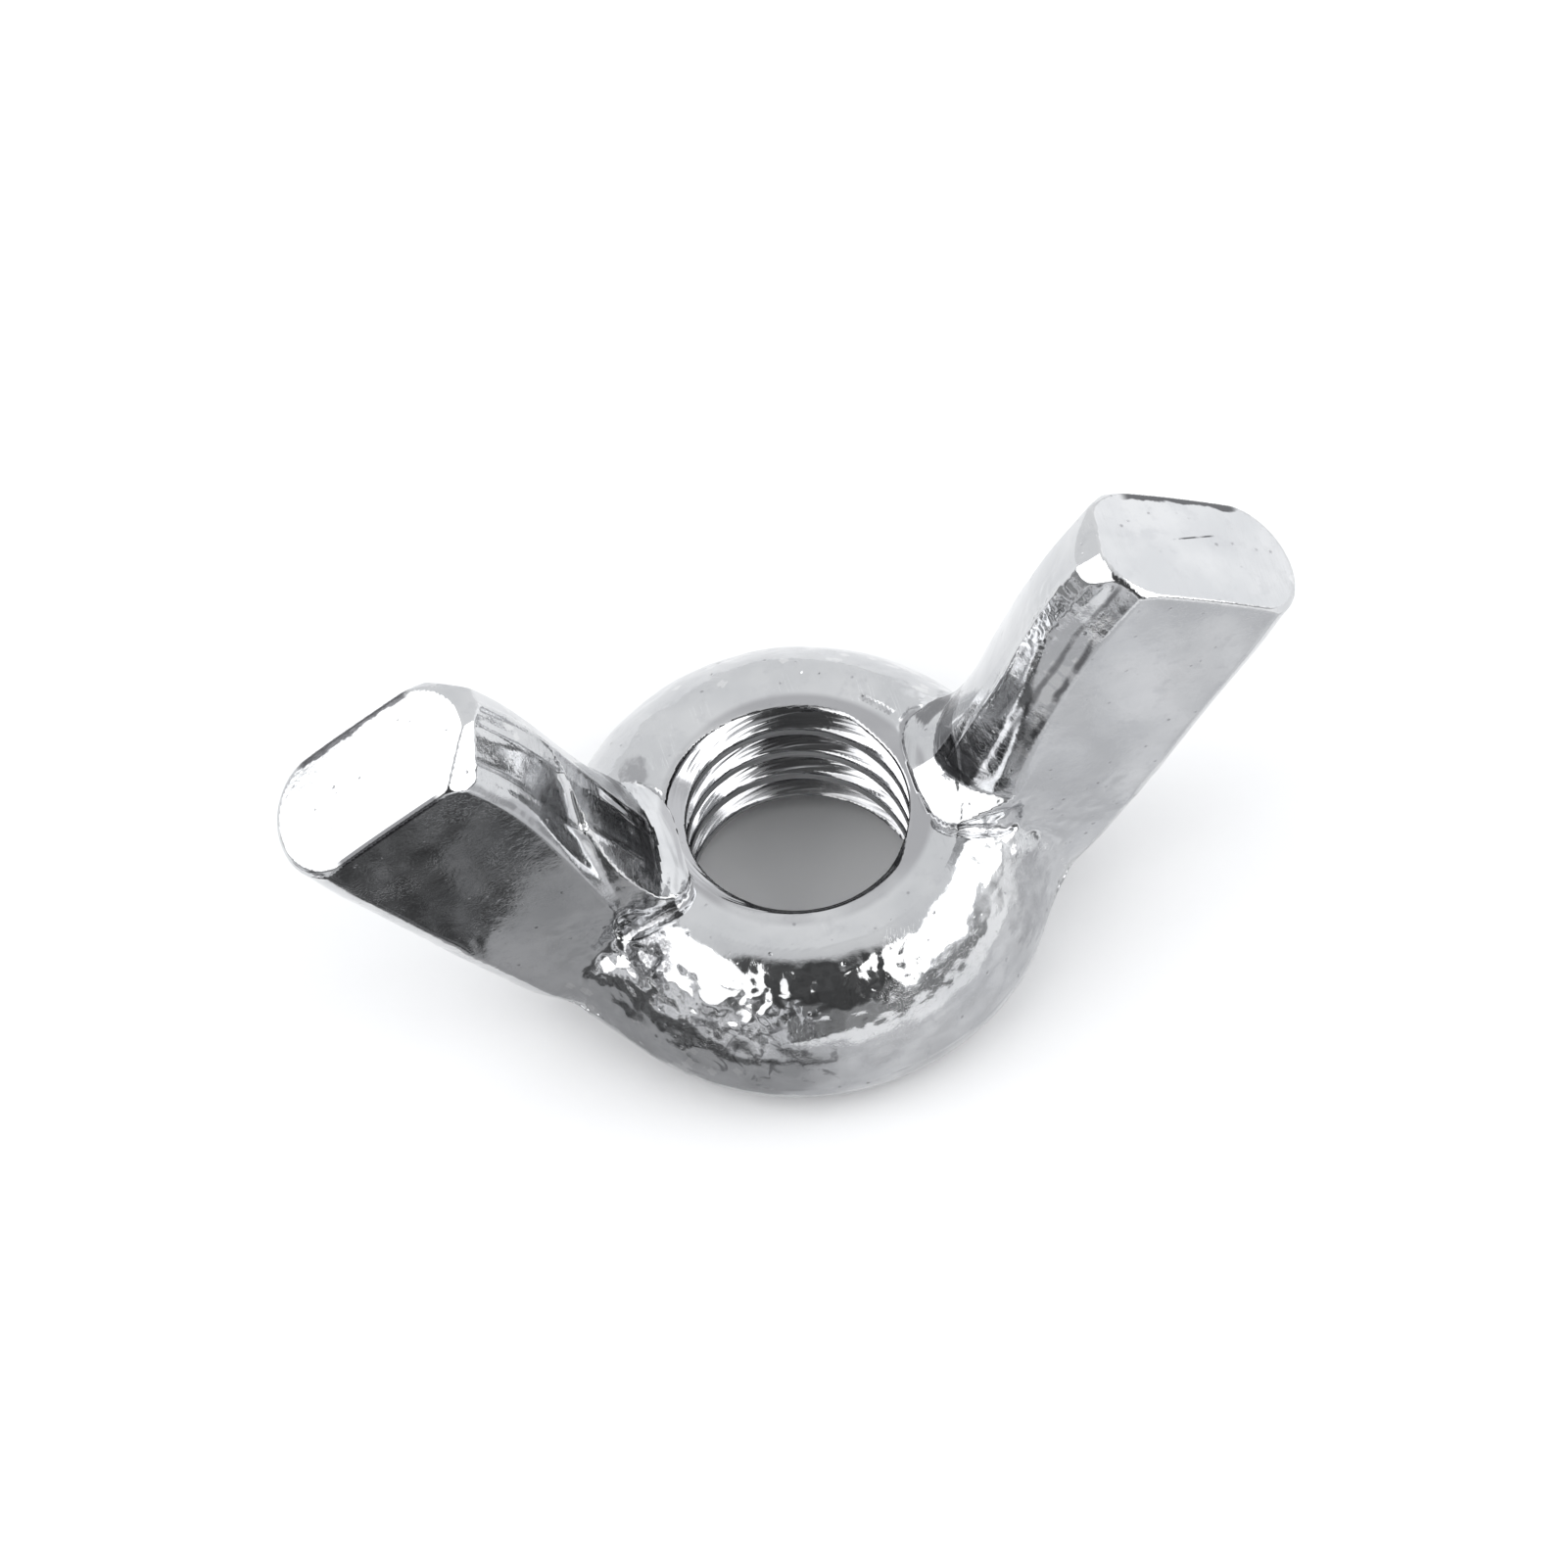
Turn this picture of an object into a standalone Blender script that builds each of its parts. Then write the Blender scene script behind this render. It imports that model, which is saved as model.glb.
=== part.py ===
"""Wing nut, M8 x 1.25, American pattern: one forged piece with an integral right-hand thread.

Frame: metres, +Z up. The bearing face lies on z = 0 and the thread's axis is Z. The wings spread along X.
"""

import math

import bmesh
import bpy
from mathutils import Vector

MM = 0.001

# Thread
THREAD_MAJOR = 8.0 * MM  # nominal diameter at the roots of the internal thread
THREAD_PITCH = 1.25 * MM
THREAD_MINOR = 6.76 * MM  # diameter at the crests of the internal thread
THREAD_FLANK = math.radians(30.0)  # each flank leans this far from the plane across the axis
CHAMFER_TOP = 7.72 * MM  # diameter of the bore's chamfer where it meets the top land
CHAMFER_BOTTOM = 8.3 * MM  # and where it meets the bearing face

# Hub
HUB_HEIGHT = 5.4 * MM
HUB_DIAMETER = 15.6 * MM
HUB_WIDEST_AT = 1.6 * MM  # height of the widest section over the bearing face
HUB_LAND_RADIUS = 4.6 * MM  # the barrel side starts to fall from here
BEARING_RADIUS = 6.2 * MM
BORE_SEGMENTS = 64
HUB_SEGMENTS = 64

# Wings: each is a slab with flat sides and rounded edges, which leans outwards.
WING_ANGLE = math.radians(56.2)  # from the bearing plane to the slab's own axis
TIP_CENTRE = Vector((12.53, 0.0, 13.68)) * MM  # middle of the end face's flat sides
TIP_HALF_WIDTH = 2.5 * MM  # half the flat side's width at the tip
TIP_HALF_THICKNESS = 1.85 * MM
INNER_CROWN = 0.56 * MM  # how far the inner edge bulges past the flat sides
OUTER_CROWN = 1.09 * MM
EDGE_BEVEL = 0.22 * MM
TIP_FACET = 0.55 * MM  # the flattened corner between the end face and the inner edge

AXIS = Vector((math.cos(WING_ANGLE), 0.0, math.sin(WING_ANGLE)))  # root to tip
OUTWARD = Vector((math.sin(WING_ANGLE), 0.0, -math.cos(WING_ANGLE)))  # inner edge to outer edge


def clear_scene():
    for obj in list(bpy.data.objects):
        bpy.data.objects.remove(obj, do_unlink=True)


def object_of(bm, name):
    """A new object holding this bmesh, with its faces turned outwards."""
    bmesh.ops.recalc_face_normals(bm, faces=bm.faces)
    mesh = bpy.data.meshes.new(name)
    bm.to_mesh(mesh)
    bm.free()
    obj = bpy.data.objects.new(name, mesh)
    bpy.context.scene.collection.objects.link(obj)
    return obj


def cutter_of(bm, name):
    obj = object_of(bm, name)
    obj.hide_render = True
    obj.display_type = "WIRE"
    return obj


def smooth(a, b, x):
    """0 at a and 1 at b, with no kink at either."""
    k = min(max((x - a) / (b - a), 0.0), 1.0)
    return k * k * (3.0 - 2.0 * k)


def loft(bm, rings):
    """Quads between rings of the same number of points, closed with a cap at each end."""
    rows = [[bm.verts.new(point) for point in ring] for ring in rings]
    count = len(rows[0])
    for low, high in zip(rows, rows[1:]):
        for i in range(count):
            j = (i + 1) % count
            bm.faces.new((low[i], low[j], high[j], high[i]))
    bm.faces.new(rows[0])
    bm.faces.new(rows[-1])


def turned(profile, segments):
    """A solid of revolution about Z: the profile's two ends are closed with discs."""
    bm = bmesh.new()
    rings = []
    for radius, height in profile:
        rings.append(
            [
                Vector((radius * math.cos(2 * math.pi * k / segments), radius * math.sin(2 * math.pi * k / segments), height))
                for k in range(segments)
            ]
        )
    loft(bm, rings)
    return bm


def hub_profile():
    """Bearing face, rounded lower edge, barrel side and soft top land, from the bottom up."""
    widest = HUB_DIAMETER / 2
    roll = widest - BEARING_RADIUS
    points = []
    for k in range(7):
        angle = -math.pi / 2 + math.pi / 2 * k / 6
        points.append((BEARING_RADIUS + roll * math.cos(angle), HUB_WIDEST_AT * (1 + math.sin(angle))))
    fall = widest - HUB_LAND_RADIUS
    rise = HUB_HEIGHT - HUB_WIDEST_AT
    for k in range(1, 12):
        angle = math.pi / 2 * k / 12
        points.append((HUB_LAND_RADIUS + fall * math.cos(angle), HUB_WIDEST_AT + rise * math.sin(angle)))
    points.append((HUB_LAND_RADIUS, HUB_HEIGHT))
    return points


def wing_half_thickness(along):
    """The sides are nearly parallel, thicken towards the root, and flare where they run into the hub."""
    return (1.85 + 0.25 * smooth(-3.0, -9.5, along / MM) + 1.7 * smooth(-10.4, -14.0, along / MM) ** 1.3) * MM


def wing_inner_crown(along):
    """The inner edge bulges more at its foot, which rounds the collar that it makes on the hub's top land."""
    return (INNER_CROWN / MM + 1.15 * smooth(-10.4, -12.0, along / MM)) * MM


def wing_inner(along):
    """The inner border of the flat side, across the slab. The slab is broadest near the tip and waisted at the root."""
    h = along / MM
    waist = -2.5 - 0.32 * math.sin(math.pi * smooth(0.0, -6.6, h)) + 1.35 * smooth(-4.2, -10.6, h)
    return (waist - 0.9 * smooth(-10.6, -12.4, h)) * MM


def wing_outer(along):
    """The outer border runs straight down to the hub's lower edge and turns in there."""
    return (2.5 - 2.2 * smooth(-11.6, -14.6, along / MM)) * MM


def wing_section(along, trim_inner=0.0, trim_all=0.0):
    """One ring across the slab: two flat sides, two crowned edges, and a small bevel between them."""
    thick = wing_half_thickness(along) - trim_all
    inner = wing_inner(along) + trim_inner
    outer = wing_outer(along) - trim_all
    ring = []

    def edge(border, crown, sign):
        radius = (thick * thick + crown * crown) / (2 * crown)
        steps = 7
        reach = thick - EDGE_BEVEL
        for k in range(steps + 1):
            across = sign * reach * (2.0 * k / steps - 1.0)
            bulge = math.sqrt(radius * radius - across * across) - (radius - crown)
            ring.append((border + sign * bulge, across))

    ring.append((outer - EDGE_BEVEL, -thick))
    edge(outer, OUTER_CROWN, 1.0)
    ring.append((outer - EDGE_BEVEL, thick))
    ring.append((inner + EDGE_BEVEL, thick))
    edge(inner, wing_inner_crown(along), -1.0)
    ring.append((inner + EDGE_BEVEL, -thick))
    base = TIP_CENTRE + AXIS * along
    return [base + OUTWARD * across + Vector((0.0, aside, 0.0)) for across, aside in ring]


def wing():
    bm = bmesh.new()
    rings = [
        wing_section(0.0, trim_inner=TIP_FACET, trim_all=0.16 * MM),
        wing_section(-0.18 * MM, trim_inner=TIP_FACET * 0.62),
        wing_section(-0.7 * MM),
    ]
    along = -1.8
    while along > -14.3:
        rings.append(wing_section(along * MM))
        along -= 1.1 if along > -9.0 else 0.45
    loft(bm, rings)
    return bm


def bore_profile():
    """The drilled hole and its two chamfers, as the cutter that makes them."""
    minor = THREAD_MINOR / 2
    over = 1.0 * MM
    top = CHAMFER_TOP / 2
    low = CHAMFER_BOTTOM / 2
    return [
        (low + over, -over),
        (low, 0.0),
        (minor, low - minor),
        (minor, HUB_HEIGHT - (top - minor)),
        (top, HUB_HEIGHT),
        (top + 0.6 * MM, HUB_HEIGHT + 0.6 * MM),
        (top + 0.6 * MM, HUB_HEIGHT + 2.5 * MM),
    ]


def thread_groove():
    """The helical groove that a tap cuts: a 60 degree vee with a flat root, wound right-handed."""
    bm = bmesh.new()
    root = THREAD_MAJOR / 2
    inside = THREAD_MINOR / 2 - 0.22 * MM
    flat = THREAD_PITCH / 16
    mouth = flat + (root - inside) * math.tan(THREAD_FLANK)
    corners = [(inside, -mouth), (root, -flat), (root, flat), (inside, mouth)]
    start = -1.1 * THREAD_PITCH
    turns = (HUB_HEIGHT + 2.2 * THREAD_PITCH) / THREAD_PITCH
    steps = int(turns * BORE_SEGMENTS)
    rings = []
    for k in range(steps + 1):
        angle = 2 * math.pi * (k + 0.5) / BORE_SEGMENTS
        height = start + THREAD_PITCH * k / BORE_SEGMENTS
        rings.append([Vector((r * math.cos(angle), r * math.sin(angle), height + dz)) for r, dz in corners])
    loft(bm, rings)
    return bm


def boolean(target, other, operation, name):
    modifier = target.modifiers.new(name, "BOOLEAN")
    modifier.operation = operation
    modifier.solver = "EXACT"
    modifier.object = other
    return modifier


def steel():
    """Bright, neutral, almost mirror-smooth metal."""
    material = bpy.data.materials.new("bright_steel")
    material.use_nodes = True
    shader = material.node_tree.nodes["Principled BSDF"]
    shader.inputs["Base Color"].default_value = (0.74, 0.75, 0.76, 1.0)
    shader.inputs["Metallic"].default_value = 1.0
    shader.inputs["Roughness"].default_value = 0.12
    return material


def main():
    clear_scene()
    nut = object_of(turned(hub_profile(), HUB_SEGMENTS), "wing_nut")
    nut.data.materials.append(steel())
    right = cutter_of(wing(), "wing_right_blank")
    left = cutter_of(wing(), "wing_left_blank")
    left.rotation_euler = (0.0, 0.0, math.pi)
    bore = cutter_of(turned(bore_profile(), BORE_SEGMENTS), "bore_cutter")
    groove = cutter_of(thread_groove(), "thread_cutter")
    boolean(nut, right, "UNION", "forge_right_wing")
    boolean(nut, left, "UNION", "forge_left_wing")
    boolean(nut, bore, "DIFFERENCE", "drill_bore")
    boolean(nut, groove, "DIFFERENCE", "tap_thread")
    finished = bpy.data.meshes.new_from_object(nut.evaluated_get(bpy.context.evaluated_depsgraph_get()))
    nut.modifiers.clear()
    nut.data = finished
    nut.data.shade_smooth()
    nut.data.set_sharp_from_angle(angle=math.radians(32.0))


main()
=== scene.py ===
"""Looks of the wing nut: the forged, tapped and bright-finished surface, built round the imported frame."""

import math

import bpy
import numpy as np
from mathutils import Matrix, Vector


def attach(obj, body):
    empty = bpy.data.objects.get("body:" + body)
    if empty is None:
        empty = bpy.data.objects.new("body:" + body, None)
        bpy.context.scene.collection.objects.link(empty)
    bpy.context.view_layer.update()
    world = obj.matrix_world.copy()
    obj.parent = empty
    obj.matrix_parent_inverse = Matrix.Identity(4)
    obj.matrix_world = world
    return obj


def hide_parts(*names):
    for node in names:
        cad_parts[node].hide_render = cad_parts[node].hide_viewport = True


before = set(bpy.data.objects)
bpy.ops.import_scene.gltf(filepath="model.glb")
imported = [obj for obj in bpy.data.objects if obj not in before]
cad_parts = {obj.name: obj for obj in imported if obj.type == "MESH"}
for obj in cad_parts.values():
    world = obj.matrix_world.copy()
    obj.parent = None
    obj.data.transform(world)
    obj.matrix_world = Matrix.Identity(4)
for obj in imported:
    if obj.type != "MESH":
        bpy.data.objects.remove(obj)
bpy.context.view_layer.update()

MM = 0.001

# ---------------------------------------------------------------------------
# The nut's shape as a signed distance, in millimetres: negative inside the metal.
# ---------------------------------------------------------------------------

HUB_TOP = 5.4
HUB_R = 7.6
HUB_WIDE_Z = 1.6
LAND_R = 4.9
BEARING_R = 6.05

MAJOR_R = 4.0
MINOR_R = 3.38
PITCH = 1.25
CHAMFER_TOP_R = 3.72
CHAMFER_LOW_R = 4.15

WING_ANGLE = math.radians(56.2)
TIP = (12.53, 13.68)
AX = (math.cos(WING_ANGLE), math.sin(WING_ANGLE))
OUT = (math.sin(WING_ANGLE), -math.cos(WING_ANGLE))
TIP_T = 1.96

FOOT_X = 5.0
FOOT_REACH = 1.36
FOOT_T = 2.2


def step(a, b, x):
    k = np.clip((x - a) / (b - a), 0.0, 1.0)
    return k * k * (3.0 - 2.0 * k)


def smin(a, b, k):
    """Smooth union: the two surfaces melt together over a width k."""
    h = np.maximum(k - np.abs(a - b), 0.0) / k
    return np.minimum(a, b) - h * h * h * k / 6.0


def smax(a, b, k):
    return -smin(-a, -b, k)


def hub_shape(r, z):
    up = np.maximum(z - HUB_WIDE_Z, 1e-6)
    wide = HUB_R - LAND_R
    tall = HUB_TOP - HUB_WIDE_Z
    p = np.maximum(r - LAND_R, 0.0)
    q = (p / wide) ** 1.66 + (up / tall) ** 1.66
    upper = (q ** (1 / 1.66) - 1.0) * tall * 0.78
    upper = np.where(p <= 0.0, up - tall, upper)
    roll = HUB_R - BEARING_R
    q = np.maximum(r - BEARING_R, 0.0)
    down = (HUB_WIDE_Z - z) * (roll / HUB_WIDE_Z)
    lower = np.hypot(q, down) - roll
    return np.where(z >= HUB_WIDE_Z, upper, lower)


def oval(p, q, a, b):
    """Near enough the distance to an ellipse with half axes a and b."""
    k0 = np.sqrt((p / a) ** 2 + (q / b) ** 2)
    k1 = np.sqrt((p / a**2) ** 2 + (q / b**2) ** 2)
    return k0 * (k0 - 1.0) / np.maximum(k1, 1e-6)


def wing_shape(x, y, z):
    ax = np.abs(x)
    h = (ax - TIP[0]) * AX[0] + (z - TIP[1]) * AX[1]
    w = (ax - TIP[0]) * OUT[0] + (z - TIP[1]) * OUT[1]
    ay = np.sqrt(y * y + 1e-6)
    t = TIP_T + 0.19 * step(-3.0, -9.5, h)
    g = np.clip(h, -12.0, 0.0)
    # Where the flat side ends towards the inner and the outer edge of the wing.
    wi = -2.501 + g * (0.060106 + g * (0.004971 + g * (-0.001412 - 0.000027 * g)))
    wo = 2.30 + 0.15 * step(0.0, -2.6, h)
    flat = ay - t
    outer = oval(np.maximum(w - wo, 0.0), ay, 1.68, t * 1.045)
    # The inner edge: two slopes that meet in a ridge, off the middle, where the flash was trimmed.
    side = step(-1.0, 1.0, x)
    slim = step(-1.5, -7.0, h)
    off = y - (0.40 - 0.92 * side)
    beyond = np.maximum(off, 0.0)
    fall = np.sqrt(np.minimum(off, 0.0) ** 2 + 0.10) - 0.316
    left = -0.88 * (w - (wi - 1.02 + 0.40 * slim)) + 0.47 * fall + beyond * (0.10 + 0.10 * beyond)
    right = -0.83 * (w - (wi - 1.16 + 0.42 * slim)) + 0.56 * fall + beyond * (0.08 + 0.11 * beyond)
    inner = left + (right - left) * side
    bevel = -(w - wi) * 0.6 + (ay - t) * 0.8 + 0.15 + (0.27 - 0.17 * side) * step(-1.0, -8.0, h)
    k = 0.07
    f = smax(smax(flat, inner, k), bevel, k)
    f = smax(f, outer, 0.05)
    # The end face, with a small bevel round it that grows at the corners.
    end = h + (w * w + y * y) / 90.0
    reach = 1.84 + 0.3 * side
    rim = np.where(w < 0.3, oval(np.minimum(w + 1.4, 0.0), ay, reach, TIP_T + 0.06), oval(np.maximum(w - 2.2, 0.0), ay, 1.80, TIP_T + 0.06))
    rim = (end + rim) * 0.7071 + 0.07
    away = 0.15 * beyond - (0.49 - 0.16 * side) * (np.minimum(off, 0.0) + 0.25)
    facet = (0.52 - 0.08 * side) * h - (0.70 + 0.13 * side) * (w + 3.33 - 0.16 * side) + away
    f = smax(smax(f, rim, 0.05), end, 0.06)
    f = smax(f, facet, 0.05)
    return smax(f, 1.25 - z, 1.6)


def collar_shape(x, y, z):
    """The foot of each wing on the hub's top: a ramp that rises into the wing, with a crisp lip round it."""
    ax, ay = np.abs(x), np.abs(y)
    along = np.where(ax < FOOT_X, (FOOT_X - ax) / FOOT_REACH, (ax - FOOT_X) / 1.7)
    squarish = (along**3 + (ay / FOOT_T) ** 3) ** (1 / 3)
    border = (squarish - 1.0) * 1.5
    climb = np.where(x > 0.0, 4.02 - np.hypot(ax - 7.2, ay + 0.5), 5.34 - np.hypot(ax - 8.6, 0.8 * ay + 0.3))
    steep = np.maximum(climb - 1.12, 0.0)
    ramp = (z - HUB_TOP - 0.05 - 0.60 * climb - 1.15 * steep) * (0.857 - 0.36 * step(0.0, 0.2, steep))
    f = smax(ramp, border, 0.04)
    return np.maximum(f, 3.0 - z)


def bore_void(x, y, z):
    r = np.hypot(x, y)
    turn = z / PITCH - np.arctan2(y, x) / (2 * math.pi) + 0.18
    s = np.abs(turn - np.round(turn)) * PITCH
    flat = PITCH / 16
    flank = (s - flat - (MAJOR_R - r) * math.tan(math.radians(30))) * math.cos(math.radians(30))
    groove = smax(r - MAJOR_R, flank, 0.14)
    hole = smin(r - MINOR_R, groove, 0.12)
    rise = z - HUB_TOP
    # The feet of the wings were pressed in against the rim, so the chamfer is narrower beside them.
    beside = step(0.60, 0.93, np.abs(x) / np.maximum(r, 1e-3))
    top = (r - (CHAMFER_TOP_R - 0.26 * beside + np.minimum(rise, 0.0) + 0.3 * np.maximum(rise, 0.0))) * 0.7071
    top = np.maximum(top, z - 7.4)
    low = (r - (CHAMFER_LOW_R - z)) * 0.7071
    return smin(smin(hole, top, 0.08), low, 0.05)


def nut(P):
    x, y, z = P[..., 0], P[..., 1], P[..., 2]
    ax = np.abs(x)
    r = np.hypot(x, y)
    hub = hub_shape(r, z)
    wing = wing_shape(x, y, z)
    melt = 0.5 + 1.7 * step(1.9, 3.4, np.abs(y)) + 1.3 * step(5.2, 3.0, z)
    f = smin(hub, wing, np.minimum(melt, 2.4))
    f = smin(f, smin(wing, collar_shape(x, y, z), 0.1 + 0.9 * step(5.0, 6.2, z)), 0.05)
    f = smax(f, -z, 0.10)
    return smax(f, -bore_void(x, y, z), 0.06)


def lattice_noise(P, size, seed):
    """Gradient noise, about -0.7 to 0.7, on a lattice with the given cell in millimetres."""
    table = np.random.default_rng(seed).normal(size=(2048, 3))
    table /= np.linalg.norm(table, axis=1)[:, None]
    q = P / size
    base = np.floor(q).astype(np.int64)
    frac = q - base
    fade = frac * frac * frac * (frac * (frac * 6.0 - 15.0) + 10.0)
    total = np.zeros(P.shape[:-1])
    for dx in (0, 1):
        for dy in (0, 1):
            for dz in (0, 1):
                c = base + np.array([dx, dy, dz])
                k = (c[..., 0] * 73856093 ^ c[..., 1] * 19349663 ^ c[..., 2] * 83492791) & 2047
                g = table[k]
                o = frac - np.array([dx, dy, dz])
                wx = fade[..., 0] if dx else 1.0 - fade[..., 0]
                wy = fade[..., 1] if dy else 1.0 - fade[..., 1]
                wz = fade[..., 2] if dz else 1.0 - fade[..., 2]
                total += wx * wy * wz * (g * o).sum(-1)
    return total


def relief(P):
    """How far the forged and tumbled surface stands off the clean shape, in millimetres: waves, dings, and the
    trimmed parting line on the wings' inner edges. The thread and its chamfers stay clean."""
    x, y, z = P[..., 0], P[..., 1], P[..., 2]
    ax, ay = np.abs(x), np.abs(y)
    r = np.hypot(x, y)
    h = (ax - TIP[0]) * AX[0] + (z - TIP[1]) * AX[1]
    w = (ax - TIP[0]) * OUT[0] + (z - TIP[1]) * OUT[1]
    around = np.degrees(np.arctan2(y, x))
    n4 = lattice_noise(P, 4.2, 11)
    n2 = lattice_noise(P, 1.9, 12)
    n1 = lattice_noise(P, 0.95, 13)
    n05 = lattice_noise(P, 0.5, 14)
    n03 = lattice_noise(P, 0.27, 15)
    wing = step(4.6, 7.2, z) * step(6.0, 7.4, ax)
    tip = step(-0.9, -0.1, h) * wing
    barrel = step(-1.55, -2.45, w) * step(-0.25, -0.8, h) * step(5.9, 7.0, z)
    shoulder = step(5.0, 5.7, r) * (1.0 - wing) * step(0.9, 2.0, z) * (1.0 - 0.85 * step(5.8, 6.8, z))
    crest = step(5.2, 5.9, r) * step(3.1, 4.4, z) * (1.0 - wing) * step(6.5, 5.7, z)
    root = np.exp(-(((ax - 6.4) / 1.4) ** 2) - ((ay - 2.4) / 1.0) ** 2 - ((z - 4.0) / 2.6) ** 2)
    d = 0.026 * n4 * (1.0 - 0.6 * tip) + 0.010 * n2
    d += 0.011 * wing * n2 * (1.0 - tip) + 0.0022 * n1 * (1.0 - shoulder)
    d += shoulder * (0.022 * n2 + 0.012 * n1 + 0.004 * n05)
    d += crest * (0.030 * n1 + 0.018 * n05 + 0.008 * n03)
    d += crest * step(-130.0, -115.0, around) * step(-60.0, -80.0, around) * (0.014 * n05 + 0.012 * n03)
    d += root * (0.045 * n1 + 0.024 * n05 + 0.008 * n03)
    crumpled = step(-166.0, -152.0, around) * step(-98.0, -112.0, around) * step(5.5, 6.1, r) * step(0.7, 1.6, z) * step(5.15, 4.6, z)
    d += crumpled * (0.050 * n1 + 0.024 * n05 + 0.008 * n03)
    # a wrinkled patch by one foot, and a dented stretch of the crest
    wrinkle = np.exp(-(((x - 4.75) / 0.8) ** 2) - ((y - 2.3) / 0.75) ** 2 - ((z - 5.7) / 0.7) ** 2)
    d += wrinkle * (0.10 * n1 + 0.11 * n05 + 0.03 * n03)
    dented = np.exp(-(((x + 5.5) / 0.9) ** 2) - ((y + 3.3) / 0.9) ** 2 - ((z - 4.7) / 0.8) ** 2)
    d += dented * (0.16 * n1 + 0.10 * n05 + 0.03 * n03 - 0.05)
    # dings, as small hollows
    d -= 0.05 * step(0.33, 0.55, n1) * (0.25 * shoulder + 0.9 * root)
    d -= 0.02 * step(0.38, 0.66, lattice_noise(P, 0.7, 21)) * (0.5 * shoulder + 0.15 * wing * (1.0 - tip))
    # ridges that run along the inner edge, where the flash was trimmed
    turn = np.sign(x) * 3.3
    wander = 0.20 * lattice_noise(np.stack([h * 0.6, np.zeros_like(h), turn], -1), 2.0, 31)
    broken = 0.6 + 0.9 * lattice_noise(np.stack([h * 0.5, y * 0.4, turn], -1), 1.1, 32)
    ridge_y = 0.40 - 0.92 * step(-1.0, 1.0, x)
    line1 = np.exp(-(((y - ridge_y - 0.5 * wander) / 0.12) ** 2))
    line2 = np.exp(-(((y - ridge_y + 0.62 - wander) / 0.14) ** 2)) * np.clip(broken, 0.0, 1.2)
    line3 = np.exp(-(((y + 1.32 - 0.4 * wander) / 0.11) ** 2)) * np.clip(broken + 0.2, 0.0, 1.2)
    scaly = step(-1.0, -1.7, h) * step(-5.4, -3.6, h) * step(1.1, 0.3, np.abs(y + 0.3)) * step(0.0, 2.0, x)
    d += barrel * (0.045 * line1 + 0.040 * line2 + 0.036 * line3 + 0.005 * n05 + scaly * (0.030 * n03 + 0.020 * n05))
    # a fine gutter round each foot, and a nick by the rim of the bore
    along = np.where(ax < FOOT_X, (FOOT_X - ax) / FOOT_REACH, (ax - FOOT_X) / 1.7)
    border = ((np.maximum(along, 0.0) ** 3 + (ay / FOOT_T) ** 3) ** (1 / 3) - 1.0) * 1.5
    d -= 0.080 * np.exp(-(((border - 0.10) / 0.095) ** 2)) * step(5.75, 5.5, z) * step(4.2, 4.6, z)
    nick = np.exp(-(((r - 4.42) / 0.13) ** 2)) * step(30.0, 34.0, around) * step(50.0, 46.0, around)
    d -= 0.09 * nick * step(5.0, 5.3, z) * step(5.9, 5.6, z)
    # ripples round the foot of one wing
    foot = step(-2.5, -3.2, x) * step(5.45, 5.60, z) * step(6.9, 6.4, z) * step(2.3, 1.9, ay)
    d += 0.010 * foot * np.sin(np.hypot(ax - 8.6, 0.8 * ay + 0.3) * (2 * math.pi / 0.42) + 2.0 * n2)
    # a faint turned line on the hub's top land
    d += 0.012 * np.exp(-(((r - 4.93 - 0.05 * n2) / 0.07) ** 2)) * step(5.0, 5.3, z) * (1.0 - wing)
    return d * step(3.97, 4.35, r) * step(0.02, 0.35, z)


def worn_nut(P):
    return nut(P) - relief(P)


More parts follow.
